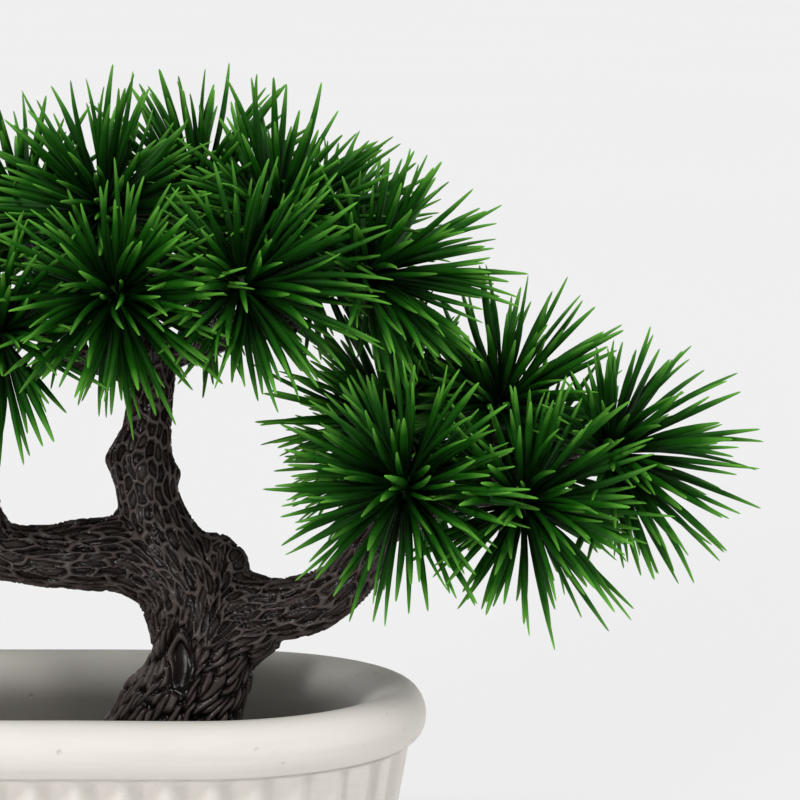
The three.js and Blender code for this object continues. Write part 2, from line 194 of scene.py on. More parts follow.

# ---- Twigs: distance back from the hub along the head's axis, and radius, in millimetres ----
TWIG_ROOT_RADIUS = 1.7
TWIG_ROOT_REACH = 3.6 * MM  # CAD vertices this close to the farthest one are the root's ring
TWIG_ELBOW = (15.6, 1.5)
TWIG_SHORTEST = 4 * MM  # a root closer to the elbow than this makes a straight twig
TWIG_TIP = [(7, 1.4), (5, 1.15), (0, 1.1)]

# ---- Studio ----
# Each sun: name, azimuth from the front towards the right, elevation, strength, angular size.
SUNS = [
    ("Key", -22, 52, 1.8, 14), ("Front_Fill", -22, 3, 1.02, 8), ("Right_Fill", 92, 30, 1.55, 40),
    ("Back", -135, 30, 0.4, 16),
]
WORLD_STRENGTH = 0.228
BACKDROP_BRIGHTNESS = 0.865
FLOOR_HALF = 40.0
LENS = 178.2
SENSOR_WIDTH = 36
CAMERA_CLIP = 200
CAMERA_DISTANCE = 1.1
CAMERA_ELEVATION = math.radians(6.42)
# The camera looks just inside the planter's right end, this far above its crest.
AIM_SHARE = 0.93
AIM_HEIGHT = 80 * MM


# ---- Mesh helpers ----
WELD = 0.001 * MM


def add_to_scene(name, data):
    made = bpy.data.objects.new(name, data)
    bpy.context.scene.collection.objects.link(made)
    return made


def mesh_object(name, vertices, faces, smooth=True):
    mesh = bpy.data.meshes.new(name)
    mesh.from_pydata([tuple(v) for v in vertices], [], faces)
    mesh.validate()
    if smooth:
        mesh.shade_smooth()
    return add_to_scene(name, mesh)


def positions(mesh):
    flat = np.empty(len(mesh.vertices) * 3)
    mesh.vertices.foreach_get("co", flat)
    return flat.reshape(-1, 3)


def normals(mesh):
    flat = np.empty(len(mesh.vertices) * 3)
    mesh.vertex_normals.foreach_get("vector", flat)
    return flat.reshape(-1, 3)


def set_positions(mesh, points):
    mesh.vertices.foreach_set("co", points.ravel())
    mesh.update()


def store(mesh, name, values):
    attribute = mesh.attributes.new(name, "FLOAT", "POINT")
    attribute.data.foreach_set("value", np.asarray(values, np.float32))


def ring_faces(rings, columns):
    """Quads between successive rings of a closed loop of columns."""
    faces = []
    for ring in range(rings - 1):
        for column in range(columns):
            right = (column + 1) % columns
            low, high = ring * columns, (ring + 1) * columns
            faces.append((low + column, low + right, high + right, high + column))
    return faces


def face_outward(made, weld=None):
    """Turns every face outward, after joining vertices closer than weld."""
    bm = bmesh.new()
    bm.from_mesh(made.data)
    if weld:
        bmesh.ops.remove_doubles(bm, verts=bm.verts, dist=weld)
        bmesh.ops.dissolve_degenerate(bm, edges=bm.edges, dist=weld)
    bmesh.ops.recalc_face_normals(bm, faces=bm.faces)
    bm.to_mesh(made.data)
    bm.free()


def settle(made, *modifiers):
    """Applies modifiers given as (type, settings) pairs."""
    for kind, settings in modifiers:
        modifier = made.modifiers.new(kind.title(), kind)
        for key, value in settings.items():
            setattr(modifier, key, value)
    evaluated = made.evaluated_get(bpy.context.evaluated_depsgraph_get())
    mesh = bpy.data.meshes.new_from_object(evaluated)
    made.modifiers.clear()
    old = made.data
    made.data = mesh
    bpy.data.meshes.remove(old)
    mesh.shade_smooth()


def field(points, scale):
    """Smooth noise at every point, from about -1 to 1."""
    return np.array([noise.noise(Vector(p * scale)) for p in points])


def vector_field(points, scale):
    return np.array([noise.noise_vector(Vector(p * scale)) for p in points])


def ease(values, start, width):
    """0 up to start, then rising evenly to 1 over width."""
    return np.clip((values - start) / width, 0, 1)


def below(values, limit, width):
    """1 well under the limit, falling evenly to 0 over width as the values reach it."""
    return np.clip((limit - values) / width, 0, 1)


def finish_mesh(mesh, material):
    mesh.materials.clear()
    mesh.materials.append(material)


def dress(made, body, slot, material, *replaced):
    finish_mesh(made.data, material)
    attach(made, body)
    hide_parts(*replaced)
    return made


# ---- Materials ----
class Finish:
    """A procedural material, with short calls for the nodes that the finishes share."""

    def __init__(self, name, **sockets):
        self.material = bpy.data.materials.new(name)
        self.material.use_nodes = True
        self.nodes = self.material.node_tree.nodes
        self.links = self.material.node_tree.links
        self.shader = self.nodes["Principled BSDF"]
        for key, value in sockets.items():
            self.shader.inputs[key.replace("_", " ")].default_value = value

    def feed(self, socket, source):
        self.links.new(source, self.shader.inputs[socket])

    def give(self, socket, value):
        """Sets a socket to a constant, or links it to a node's output."""
        if isinstance(value, bpy.types.NodeSocket):
            self.links.new(value, socket)
        elif isinstance(value, tuple):
            socket.default_value = (*value, 1)
        else:
            socket.default_value = value

    def attribute(self, name):
        node = self.nodes.new("ShaderNodeAttribute")
        node.attribute_name = name
        return node.outputs["Fac"]

    def place(self, scale=(1, 1, 1)):
        coordinates = self.nodes.new("ShaderNodeTexCoord")
        mapping = self.nodes.new("ShaderNodeMapping")
        mapping.inputs["Scale"].default_value = scale
        self.links.new(coordinates.outputs["Object"], mapping.inputs["Vector"])
        return mapping.outputs["Vector"]

    def noise(self, place, scale, detail=4.0, roughness=0.55):
        node = self.nodes.new("ShaderNodeTexNoise")
        settings = {"Vector": place, "Scale": scale, "Detail": detail, "Roughness": roughness}
        for socket, value in settings.items():
            self.give(node.inputs[socket], value)
        return node.outputs["Fac"]

    def cell_distance(self, place, scale):
        node = self.nodes.new("ShaderNodeTexVoronoi")
        self.give(node.inputs["Vector"], place)
        self.give(node.inputs["Scale"], scale)
        return node.outputs["Distance"]

    def ramp(self, source, stops):
        node = self.nodes.new("ShaderNodeValToRGB")
        elements = node.color_ramp.elements
        while len(elements) < len(stops):
            elements.new(0.5)
        for element, (position, colour) in zip(elements, stops):
            element.position = position
            element.color = (*colour, 1)
        self.links.new(source, node.inputs["Fac"])
        return node.outputs["Color"]

    def remap(self, source, was, now):
        """Takes the range of values it was to the range that it is now."""
        node = self.nodes.new("ShaderNodeMapRange")
        for socket, value in zip(("From Min", "From Max", "To Min", "To Max"), (*was, *now)):
            node.inputs[socket].default_value = value
        self.links.new(source, node.inputs["Value"])
        return node.outputs["Result"]

    def multiply(self, first, second):
        node = self.nodes.new("ShaderNodeMath")
        node.operation = "MULTIPLY"
        self.links.new(first, node.inputs[0])
        self.links.new(second, node.inputs[1])
        return node.outputs[0]

    def mix(self, share, first, second, blend="MIX"):
        node = self.nodes.new("ShaderNodeMix")
        node.data_type = "RGBA"
        node.blend_type = blend
        self.links.new(share, node.inputs["Factor"])
        for name, value in (("A", first), ("B", second)):
            self.give(next(s for s in node.inputs if s.name == name and s.type == "RGBA"), value)
        return next(s for s in node.outputs if s.type == "RGBA")

    def bump(self, height, depth, strength=1.0, over=None):
        node = self.nodes.new("ShaderNodeBump")
        node.inputs["Strength"].default_value = strength
        node.inputs["Distance"].default_value = depth
        self.links.new(height, node.inputs["Height"])
        if over is not None:
            self.links.new(over, node.inputs["Normal"])
        return node.outputs["Normal"]


GRAIN_RANGE = (0.3, 0.7)  # most of a noise texture's values


def ceramic_material():
    """Matt off-white stoneware: cloudy tint, faint throwing lines, fine grain and scattered pinholes."""
    finish = Finish("Stoneware", Roughness=0.62, Specular_IOR_Level=0.3)
    place = finish.place()
    clouds = finish.noise(place, scale=22)
    tint = finish.ramp(clouds, [(0.3, (0.7, 0.66, 0.613)), (0.7, (0.735, 0.695, 0.648))])
    lines = finish.noise(finish.place((14, 14, 320)), scale=1, detail=3)
    lined = finish.mix(finish.remap(lines, (0.45, 0.75), (0, 0.5)), tint, (0.64, 0.605, 0.565))
    pinholes = finish.remap(finish.cell_distance(place, scale=230), (0.05, 0.2), (1, 0))
    pitted_patches = finish.remap(finish.noise(place, scale=38, detail=2), (0.55, 0.66), (0, 1))
    pits = finish.multiply(pinholes, pitted_patches)
    # The pinholes are darkened in colour as well as sunk by the bump: painted shade in the pits.
    finish.feed("Base Color", finish.mix(finish.remap(pits, (0, 1), (0, 0.55)), lined, (0.56, 0.52, 0.48)))
    grain = finish.noise(place, scale=900, detail=6, roughness=0.7)
    finish.feed("Roughness", finish.remap(grain, GRAIN_RANGE, (0.55, 0.72)))
    grainy = finish.bump(grain, depth=0.06 * MM)
    thrown = finish.bump(lines, depth=0.22 * MM, strength=0.7, over=grainy)
    surface = finish.remap(pits, (0, 1), (1, 0))
    finish.feed("Normal", finish.bump(surface, depth=0.5 * MM, strength=0.8, over=thrown))
    return finish.material


def bark_material(name, dark, middle, light):
    """Satin moulded bark: brown hollows, grooves painted near black as painted shade, ridges painted paler as
    painted light, and a fine moulding grain.
    """
    finish = Finish(name, Roughness=0.2, Specular_IOR_Level=0.14)
    place = finish.place()
    # By the relief: painted shade near black in the grooves, the moulding's own brown in the hollows, and
    # painted light on the paler ridges.
    relief_tone_shade_and_light = finish.ramp(finish.attribute("relief"), [(0.05, dark), (0.42, middle), (0.92, light)])
    mottle = finish.remap(finish.noise(place, scale=120), (0.35, 0.7), (0, 0.8))
    finish.feed("Base Color", finish.mix(mottle, relief_tone_shade_and_light, (0.5, 0.46, 0.45), "MULTIPLY"))
    grain = finish.noise(place, scale=1400, detail=5, roughness=0.65)
    finish.feed("Roughness", finish.remap(grain, GRAIN_RANGE, (0.14, 0.27)))
    finish.feed("Normal", finish.bump(grain, depth=0.06 * MM, strength=0.7))
    return finish.material


def needle_material():
    """Satin green plastic, dark by the boss and brighter to the tip, partly its own colour and partly painted
    shade deep in the head, a little different on every needle.
    """
    finish = Finish("Needle_Green", Roughness=0.5, Specular_IOR_Level=0.1)
    place = finish.place()
    # From near black at the boss, which is painted shade deep inside the head, to bright green at the tip.
    green = finish.ramp(finish.attribute("along"), [
        (0.0, (0.0004, 0.002, 0.0003)), (0.4, (0.0017, 0.015, 0.0006)),
        (0.75, (0.0105, 0.1, 0.003)), (1.0, (0.14, 0.45, 0.045)),
    ])
    # Each needle is darkened by its own random tone; the boss, given the full tone, is darkened most, as
    # painted shade.
    deeper = finish.remap(finish.attribute("tone"), (0, 1), (0, 0.45))
    shaded = finish.mix(deeper, green, (0.002, 0.028, 0.0012))
    blotches = finish.remap(finish.noise(place, scale=160, detail=3), (0.4, 0.8), (0, 0.12))
    finish.feed("Base Color", finish.mix(blotches, shaded, (0.02, 0.15, 0.006)))
    grain = finish.noise(place, scale=1100)
    finish.feed("Roughness", finish.remap(grain, GRAIN_RANGE, (0.42, 0.58)))
    finish.feed("Normal", finish.bump(grain, depth=0.06 * MM, strength=0.6))
    return finish.material


def stone_material(name, dark, light, scale, roughness):
    """Cast or broken stone: mottled by grain, with a rough broken surface."""
    finish = Finish(name, Roughness=roughness)
    place = finish.place()
    finish.feed("Base Color", finish.ramp(finish.noise(place, scale), [(0.3, dark), (0.72, light)]))
    fine = finish.noise(place, scale * 6, detail=6, roughness=0.7)
    finish.feed("Roughness", finish.remap(fine, GRAIN_RANGE, (roughness - 0.1, roughness + 0.08)))
    finish.feed("Normal", finish.bump(fine, depth=0.3 * MM))
    return finish.material


def plastic_material():
    """Black moulded tub with a fine spark-eroded texture."""
    finish = Finish("Tub_Plastic", Roughness=0.6)
    place = finish.place()
    tints = [(0.3, (0.02, 0.02, 0.021)), (0.7, (0.038, 0.037, 0.036))]
    finish.feed("Base Color", finish.ramp(finish.noise(place, scale=60), tints))
    grain = finish.noise(place, scale=2200, detail=3)
    finish.feed("Roughness", finish.remap(grain, GRAIN_RANGE, (0.5, 0.68)))
    finish.feed("Normal", finish.bump(grain, depth=0.08 * MM))
    return finish.material


def steel_material():
    """Drawn rod: fine lines along its length and slightly uneven polish."""
    finish = Finish("Drawn_Steel", Metallic=1.0, Roughness=0.35)
    lines = finish.noise(finish.place((3000, 3000, 40)), scale=1)
    tints = [(0.3, (0.46, 0.47, 0.48)), (0.7, (0.6, 0.61, 0.62))]
    finish.feed("Base Color", finish.ramp(lines, tints))
    finish.feed("Roughness", finish.remap(lines, GRAIN_RANGE, (0.26, 0.45)))
    finish.feed("Normal", finish.bump(lines, depth=0.04 * MM))
    return finish.material


def floor_material():
    """Pale matt studio floor with a barely visible mottle."""
    finish = Finish("Studio_Floor", Roughness=0.95, Specular_IOR_Level=0.0)
    mottle = finish.noise(finish.place(), scale=0.7, detail=2)
    finish.feed("Base Color", finish.ramp(mottle, [(0.3, (0.857,) * 3), (0.7, (0.863,) * 3)]))
    return finish.material


# ---- Planter ----
def oval_columns(spacing):
    """Columns round an oval plan: the centre of each column's arc in X, and its outward direction."""
    straight = max(2, round(2 * HALF_STRAIGHT / spacing))
    end = max(8, round(math.pi * END_RADIUS / spacing))
    columns = []
    for side in (1.0, -1.0):
        for i in range(straight):
            columns.append((side * HALF_STRAIGHT * (2 * i / straight - 1), 0.0, -side))
        for i in range(end):
            angle = math.pi * (i / end - side / 2)
            columns.append((side * HALF_STRAIGHT, math.cos(angle), math.sin(angle)))
    return np.array(columns)


def loft(name, columns, rings):
    """A closed shell through rings of inset from the widest outline and height. Insets can vary by column."""
    points = []
    for inset, height in rings:
        radius = END_RADIUS - inset
        points.append(np.stack([
            columns[:, 0] + columns[:, 1] * radius,
            columns[:, 2] * radius,
            np.full(len(columns), height),
        ], 1))
    made = mesh_object(name, np.concatenate(points), ring_faces(len(rings), len(columns)))
    face_outward(made, weld=WELD)
    return made


def bore_inset(height):
    """Inset of the planter's inner wall at a height."""
    return RIM_OUTER + RIM_INNER + (BORE_TOP - height) * BORE_SLOPE


def groove_shape(columns):
    """From 0 on a reed's middle to 1 in a groove, with a reed at the middle of each long side."""
    radius = END_RADIUS - CREASE_INSET
    crease = np.stack([columns[:, 0] + columns[:, 1] * radius, columns[:, 2] * radius], 1)
    steps = np.linalg.norm(np.roll(crease, -1, 0) - crease, axis=1)
    from_middle = np.concatenate([[0], np.cumsum(steps)[:-1]]) - HALF_STRAIGHT
    return np.sin(np.pi * from_middle / REED_PITCH) ** 2


def wall_rings(columns):
    """The foot and the reeded outside wall, up to the crease under the rim."""
    groove = groove_shape(columns)
    bottom = CREASE_INSET + (CREASE_LEVEL - FOOT) * WALL_SLOPE
    rings = [(END_RADIUS, 0), (bottom + FOOT / 2, 0), (bottom + FOOT_BEVEL, FOOT / 3), (bottom, FOOT)]
    for share in WALL_LEVELS:
        height = FOOT + share * (CREASE_LEVEL - FOOT)
        inset = bottom + share * (CREASE_INSET - bottom)
        fade = min(1.0, (CREASE_LEVEL - height) / GROOVE_START) * min(1.0, (height - FOOT) / GROOVE_END)
        rings.append((inset + groove * GROOVE_DEPTH * math.sqrt(fade), height))
    rings.append((CREASE_INSET, CREASE_LEVEL - 0.3 * MM))
    rings.append((CREASE_INSET + CREASE_NICK, CREASE_LEVEL + 0.1 * MM))
    return rings


def rim_rings():
    """The rolled rim, from its underside over the crest and down to the inner wall."""
    rings = []
    for angle in np.linspace(0.12, 1, 7) * math.pi / 2:
        inset = CREASE_INSET * (1 - math.sin(angle)) + 0.1 * MM
        rings.append((inset, WIDEST_LEVEL - UNDERSIDE_DROP * math.cos(angle)))
    for angle in np.linspace(0, 1, 12)[1:] * math.pi / 2:
        rings.append((RIM_OUTER * (1 - math.cos(angle)), WIDEST_LEVEL + RIM_CREST * math.sin(angle)))
    for angle in np.linspace(0, 1, 16)[1:] * math.pi / 2:
        inset = RIM_OUTER + RIM_INNER * math.sin(angle)
        rings.append((inset, CREST - RIM_DROP * (1 - math.cos(angle))))
    return rings


def planter(material):
    columns = oval_columns(REED_PITCH / COLUMNS_PER_REED)
    rings = wall_rings(columns) + rim_rings()
    rings += [(bore_inset(height), height) for height in np.linspace(BORE_TOP, POT_FLOOR, 8)[1:]]
    rings.append((END_RADIUS, POT_FLOOR))
    made = loft("planter_shell", columns, rings)
    points = positions(made.data)
    waves = np.clip(field(points, THROWING_WAVES), -1, 0.2)
    swell = waves * ease(points[:, 2], POT_FLOOR, 20 * MM) * THROWING_SWELL
    set_positions(made.data, points + normals(made.data) * swell[:, None])
    return dress(made, "planter_body", "planter", material, "planter")


# ---- Fill ----
def liner(material):
    """The tub: a thin wall with a rounded foot and lip."""
    low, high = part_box("liner_tub")
    levels = low.z + np.linspace(0.1, 0.97, 10) * (high.z - low.z)
    wall = [(bore_inset(level) + TUB_GAP, level) for level in levels]
    foot = bore_inset(low.z) + TUB_GAP
    lip = bore_inset(high.z) + TUB_GAP
    inner_floor = low.z + TUB_WALL
    rings = [(END_RADIUS, low.z), (foot + TUB_FOOT, low.z), (foot, low.z + TUB_FOOT)]
    rings += wall
    rings.append((lip + TUB_LIP_EDGE, high.z - TUB_LIP))
    rings.append((lip + TUB_WALL / 2, high.z))
    rings.append((lip + TUB_WALL - TUB_LIP_EDGE, high.z - TUB_LIP))
    rings += [(inset + TUB_WALL, level) for inset, level in reversed(wall)]
    rings.append((foot + TUB_WALL + TUB_CORNER, inner_floor))
    rings.append((END_RADIUS, inner_floor))
    shell = loft("liner_shell", oval_columns(3 * MM), rings)
    return dress(shell, "tree", "liner", material, "liner_tub")


def scatter_pebbles(edge, rng):
    """Centres in X and Y and radii of pebbles that lie inside the oval, off the trunk and off each other."""
    trunk_x, trunk_y, _, trunk_radius = (value * MM for value in LIMBS["middle"][1])
    pebbles = []
    for _ in range(PEBBLE_TRIES):
        x = rng.uniform(-1, 1) * (HALF_STRAIGHT + edge)
        y = rng.uniform(-1, 1) * edge
        radius = rng.uniform(*PEBBLE_RADII) * MM
        beyond = math.hypot(max(0.0, abs(x) - HALF_STRAIGHT), y)
        if beyond > edge - radius:
            continue
        if math.hypot(x - trunk_x, y - trunk_y) < trunk_radius + radius + TRUNK_CLEARANCE:
            continue
        if all(math.hypot(x - a, y - b) > PEBBLE_CLOSENESS * (radius + c) for a, b, c in pebbles):
            pebbles.append((x, y, radius))
    return pebbles


def add_pebble(bm, x, y, radius, top, rng):
    """A flattened, turned and lumpy round stone, half sunk in the bed."""
    squash = rng.uniform(0.62, 0.85)
    height = top - radius * squash * rng.uniform(1.0, 1.25) - 0.2 * MM
    turn = Matrix.Rotation(rng.uniform(0, math.tau), 4, "Z")
    shape = Matrix.Diagonal((rng.uniform(0.9, 1.15), rng.uniform(0.85, 1.1), squash, 1))
    centre = Vector((x, y, height))
    place = Matrix.Translation(centre) @ turn @ shape
    added = bmesh.ops.create_icosphere(bm, subdivisions=2, radius=radius, matrix=place)["verts"]
    seed = Vector((rng.uniform(0, 50), rng.uniform(0, 50), 0))
    for vertex in added:
        away = vertex.co - centre
        vertex.co += away * PEBBLE_LUMPS * noise.noise(vertex.co * PEBBLE_LUMP_SCALE + seed)


def gravel(material):
    """Bonded pea gravel: a bed with rounded pebbles packed over it, clear of the trunk."""
    low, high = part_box("gravel_dressing")
    rng = random.Random(7)
    edge = END_RADIUS - bore_inset(high.z) - GRAVEL_GAP
    bed_top = high.z - GRAVEL_BED
    rings = [(END_RADIUS, low.z), (END_RADIUS - edge + 1 * MM, low.z)]
    rings += [(END_RADIUS - edge, bed_top), (END_RADIUS, bed_top)]
    made = loft("gravel_bed", oval_columns(4 * MM), rings)
    made.name = "gravel_pebbles"
    pebbles = scatter_pebbles(edge, rng)
    bm = bmesh.new()
    bm.from_mesh(made.data)
    for x, y, radius in pebbles:
        add_pebble(bm, x, y, radius, high.z, rng)
    bm.to_mesh(made.data)
    bm.free()
    made.data.shade_smooth()
    points = positions(made.data)
    points[:, 2] = np.minimum(points[:, 2], high.z)
    set_positions(made.data, points)
    return dress(made, "tree", "gravel", material, "gravel_dressing")


# ---- Bark ----
def smooth_line(stations):
    """Points, tangents and radii along a Catmull-Rom line through the stations, in metres."""
    table = np.array(stations, float) * MM
    padded = np.vstack([2 * table[0] - table[1], table, 2 * table[-1] - table[-2]])
    samples = []
    for i in range(1, len(padded) - 2):
        a, b, c, d = padded[i - 1:i + 3]
        steps = max(2, math.ceil(np.linalg.norm((c - b)[:3]) / LINE_SPACING))
        for t in np.arange(steps) / steps:
            square = (2 * a - 5 * b + 4 * c - d) * t ** 2
            cube = (3 * b - a - 3 * c + d) * t ** 3
            samples.append(0.5 * (2 * b + (c - a) * t + square + cube))
    samples.append(table[-1])
    samples = np.array(samples)
    tangents = np.gradient(samples[:, :3], axis=0)
    tangents /= np.linalg.norm(tangents, axis=1, keepdims=True)
    return samples[:, :3], tangents, samples[:, 3]


def add_tube(bm, stations):
    """A closed round tube along the stations."""
    centres, tangents, radii = smooth_line(stations)
    side = Vector(tangents[0]).orthogonal().normalized()
    rings = []
    for centre, tangent, radius in zip(centres, tangents, radii):
        forward = Vector(tangent)
        side = (side - forward * side.dot(forward)).normalized()
        up = forward.cross(side)
        ring = []
        for i in range(TUBE_SIDES):
            angle = math.tau * i / TUBE_SIDES
            offset = side * math.cos(angle) + up * math.sin(angle)
            ring.append(bm.verts.new(Vector(centre) + offset * radius))
        rings.append(ring)
    for low, high in zip(rings, rings[1:]):
        for i in range(TUBE_SIDES):
            right = (i + 1) % TUBE_SIDES
            bm.faces.new((low[i], low[right], high[right], high[i]))
    bm.faces.new(list(reversed(rings[0])))
    bm.faces.new(rings[-1])


def limb_skin(name, tubes, knobs, voxel, smoothing):
    """Tubes and knobs melted into one skin of voxel-sized quads."""
    bm = bmesh.new()
    for stations in tubes:
        add_tube(bm, stations)
    for x, y, z, radius in knobs:
        place = Matrix.Translation(Vector((x, y, z)) * MM)
        bmesh.ops.create_icosphere(bm, subdivisions=3, radius=radius * MM, matrix=place)
    mesh = bpy.data.meshes.new(name)
    bm.to_mesh(mesh)
    bm.free()
    made = add_to_scene(name, mesh)
    settle(
        made,
        ("REMESH", {"mode": "VOXEL", "voxel_size": voxel * COARSE_VOXELS}),
        ("SMOOTH", {"factor": 0.5, "iterations": smoothing}),
        ("REMESH", {"mode": "VOXEL", "voxel_size": voxel}),
        ("SMOOTH", {"factor": 0.5, "iterations": 6}),
    )
    return made


def point_tree(points):
    tree = kdtree.KDTree(len(points))
    for i, point in enumerate(points):
        tree.insert(point, i)
    tree.balance()
    return tree


def limb_flow(points, lines):
    """For every point, the limbs' direction there and each line's share of it."""
    gaps, directions = [], []
    for centres, tangents, radii in lines:
        tree = point_tree(centres)
        found = [tree.find(p)[1:] for p in points]
        index = np.array([f[0] for f in found])
        gaps.append(np.array([f[1] for f in found]) - radii[index])
        directions.append(tangents[index])
    gaps = np.array(gaps)
    shares = np.exp(-((gaps - gaps.min(0)) / SKIN_BLEND) ** 2)
    shares /= shares.sum(0)
    flow = sum(share[:, None] * direction for share, direction in zip(shares, directions))
    return unit(flow), shares


def unit(vectors):
    return vectors / (np.linalg.norm(vectors, axis=1, keepdims=True) + 1e-9)


def blend_styles(shares, styles):
    """Bark settings at every point: each style counts by its share there."""
    return {key: sum(share * style[key] for share, style in zip(shares, styles)) for key in TRUNK_BARK}


def lean_right(points, flow):
    """Turns the trunk's bark towards the right limb, below and right of the scar."""
    across = ease(points[:, 0] / MM, LEAN["start"], LEAN["across"])
    flow[:, 0] += LEAN["most"] * across * below(points[:, 2] / MM, LEAN["top"], LEAN["up"])


def trunk_style(points, style):
    """Small even bark up the middle limb, long ridged bark under it, and pillows at the bottom."""
    height = points[:, 2] / MM
    ridged = below(height, LIMB_PATTERN["top"], LIMB_PATTERN["blend"])
    style = blend_styles((1 - ridged, ridged), (style, LIMB_BARK))
    sway = PILLOWS["sway"] * field(points, PILLOWS["sway_scale"])
    pillowed = below(height, PILLOWS["top"] + sway, PILLOWS["blend"])
    return blend_styles((1 - pillowed, pillowed), (style, TRUNK_BARK))


def cell_distance(along, across, length, width):
    """How far a point is from a cell's middle, where 1 is the cell's own length or width away."""
    power = CELL_SQUARENESS
    return ((along / length) ** power + (across / width) ** power) ** (1 / power)


def split_offset(offset, flow):
    """An offset's parts along the bark's direction and across it."""
    along = (offset * flow).sum(-1)
    return along, np.sqrt(np.maximum((offset ** 2).sum(-1) - along ** 2, 0))


def sow_cells(points, flow, style, rng):
    """Cell middles picked in random order, spaced by each place's own cell length and width."""
    order = list(range(len(points)))
    rng.shuffle(order)
    order = order[:SEED_TRIES]
    kept = np.zeros((len(order), 3))
    seeds = []
    for i in order:
        if seeds:
            along, across = split_offset(kept[:len(seeds)] - points[i], flow[i])
            spacing = cell_distance(along, across, style["length"][i] * MM, style["width"][i] * MM)
            if spacing.min() < CELL_SPACING:
                continue
        kept[len(seeds)] = points[i]
        seeds.append(i)
    return np.array(seeds)


def cell_relief(points, flow, style, seeds, rng):
    """Height from 0 to 1: pillows with deep grooves, or hollows with low domes and thin ridges."""
    tree = point_tree(points[seeds])
    neighbours = min(CELL_NEIGHBOURS, len(seeds))
    near = np.array([[found[1] for found in tree.find_n(p, neighbours)] for p in points])
    wobble = vector_field(points, CELL_WOBBLE_SCALE) * CELL_WOBBLE
    offset = (points + wobble)[:, None, :] - points[seeds][near]
    swerve = np.array([[rng.gauss(0, CELL_SWERVE) for _ in range(3)] for _ in seeds])
    along, across = split_offset(offset, unit(flow[seeds] + swerve)[near])
    length = style["length"][seeds][near] * MM
    width = style["width"][seeds][near] * MM
    distance = cell_distance(along, across, length, width)
    nearest = np.sort(distance, axis=1)
    edge = nearest[:, 1] - nearest[:, 0]
    own = near[np.arange(len(points)), distance.argmin(1)]
    lift = np.array([rng.uniform(*CELL_LIFTS) for _ in seeds])[own]
    pillow = (1 - (1 - ease(edge, 0.04, 0.75)) ** 2.4) * lift
    hollow = ease(edge, 0.05, 0.28)
    dome = ease(edge, 0.34, 0.5)
    ridged = 1 - hollow ** 2 * (3 - 2 * hollow) * lift + HOLLOW_DOME * dome * (2 - dome)
    return pillow * (1 - style["ridged"]) + ridged * style["ridged"]


def add_scar(points, outward, relief):
    """An oval scar: a low dome in a smooth hollow, inside a lip that is highest at its upper left."""
    centre_x, centre_z = SCAR["centre"]
    half_x, half_z = SCAR["half"]
    wobble = vector_field(points, SCAR["wobble_scale"]) * SCAR["wobble"]
    across = (points[:, 0] / MM - centre_x) / half_x + wobble[:, 0]
    up = (points[:, 2] / MM - centre_z) / half_z + wobble[:, 2]
    reach = np.hypot(across, up)
    lip = np.clip(0.55 + 0.6 * up - 0.35 * across, 0, 1.15) * np.exp(-((reach - 1.1) / 0.2) ** 2)
    dome = SCAR["dome"] * np.clip(1 - (reach / 0.95) ** 2, 0, 1) ** 0.7
    front = outward[:, 1] < -0.2
    blend = below(reach, SCAR["reach"], 0.4) * front
    return relief * (1 - blend) + np.maximum(lip, dome) * blend


def bark_piece(name, tubes, styles, knobs=(), voxel=0.44 * MM, smoothing=14, seed=1, scar=False):
    """A limb or a group of limbs as one skin with carved bark."""
    made = limb_skin(name, tubes, knobs, voxel, smoothing)
    points = positions(made.data)
    outward = normals(made.data)
    flow, shares = limb_flow(points, [smooth_line(stations) for stations in tubes])
    style = blend_styles(shares, styles)
    if scar:
        lean_right(points, flow)
        style = trunk_style(points, style)
    flow = unit(flow - outward * (flow * outward).sum(1, keepdims=True))
    rng = random.Random(seed)
    seeds = sow_cells(points, flow, style, rng)
    relief = cell_relief(points, flow, style, seeds, rng)
    if scar:
        relief = add_scar(points, outward, relief)
    lumps = field(points, BARK_LUMP_SCALE) * BARK_LUMPS
    push = (relief - BARK_MEAN + lumps) * style["height"] * MM
    set_positions(made.data, points + outward * push[:, None])
    store(made.data, "relief", relief)
    return made


def tree_wood(material, twig_material):
    styles = [MIDDLE_BARK] + [LIMB_BARK] * (len(LIMBS) - 1)
    trunk = bark_piece("trunk_bark", list(LIMBS.values()), styles, knobs=KNOBS, seed=11, scar=True)
    dress(trunk, "tree", "bark", material, "trunk")
    for i, (name, stations) in enumerate(BOUGHS.items()):
        piece = f"{name}_bark"
        bough = bark_piece(piece, [stations], [BOUGH_BARK], voxel=0.42 * MM, smoothing=6, seed=20 + i)
        dress(bough, "tree", "bark", material, name)
    for i, name in enumerate(head_names):
        stations = twig_stations(name)
        piece = f"twig_{name}_bark"
        twig = bark_piece(piece, [stations], [BOUGH_BARK], voxel=0.34 * MM, smoothing=3, seed=40 + i)
        dress(twig, "tree", "twig", twig_material, f"twig_{name}")


def head_place(name):
    joint = joints[HEAD_JOINT + name]
    return Vector(joint["pos_m"]), Vector(joint["axis"]).normalized()


def twig_stations(name):
    """From the twig's root, at its CAD vertices farthest from the hub, to the peg inside the boss."""
    hub, axis = head_place(name)
    vertices = [v.co for v in frame["nodes"][f"twig_{name}"].data.vertices]
    far = max(vertices, key=lambda v: (v - hub).length)
    ring = [v for v in vertices if (v - far).length < TWIG_ROOT_REACH]
    root = sum(ring, Vector()) / len(ring)
    elbow_back, elbow_radius = TWIG_ELBOW
    elbow = hub - axis * elbow_back * MM
    stations = [(*(root / MM), TWIG_ROOT_RADIUS)]
    if (root - elbow).length > TWIG_SHORTEST:
        stations.append((*(elbow / MM), elbow_radius))
    for back, radius in TWIG_TIP:
        stations.append((*((hub - axis * back * MM) / MM), radius))
    return stations


# ---- Needles ----
def needle_reach(polar):
    """Needles up to 45 degrees off the axis have their full length, and those behind the boss are shorter."""
    fade = min(1.0, max(0.0, (math.degrees(polar) - 45) / 55))
    return NEEDLE_LENGTH * (1 - NEEDLE_SHORTENING * fade)


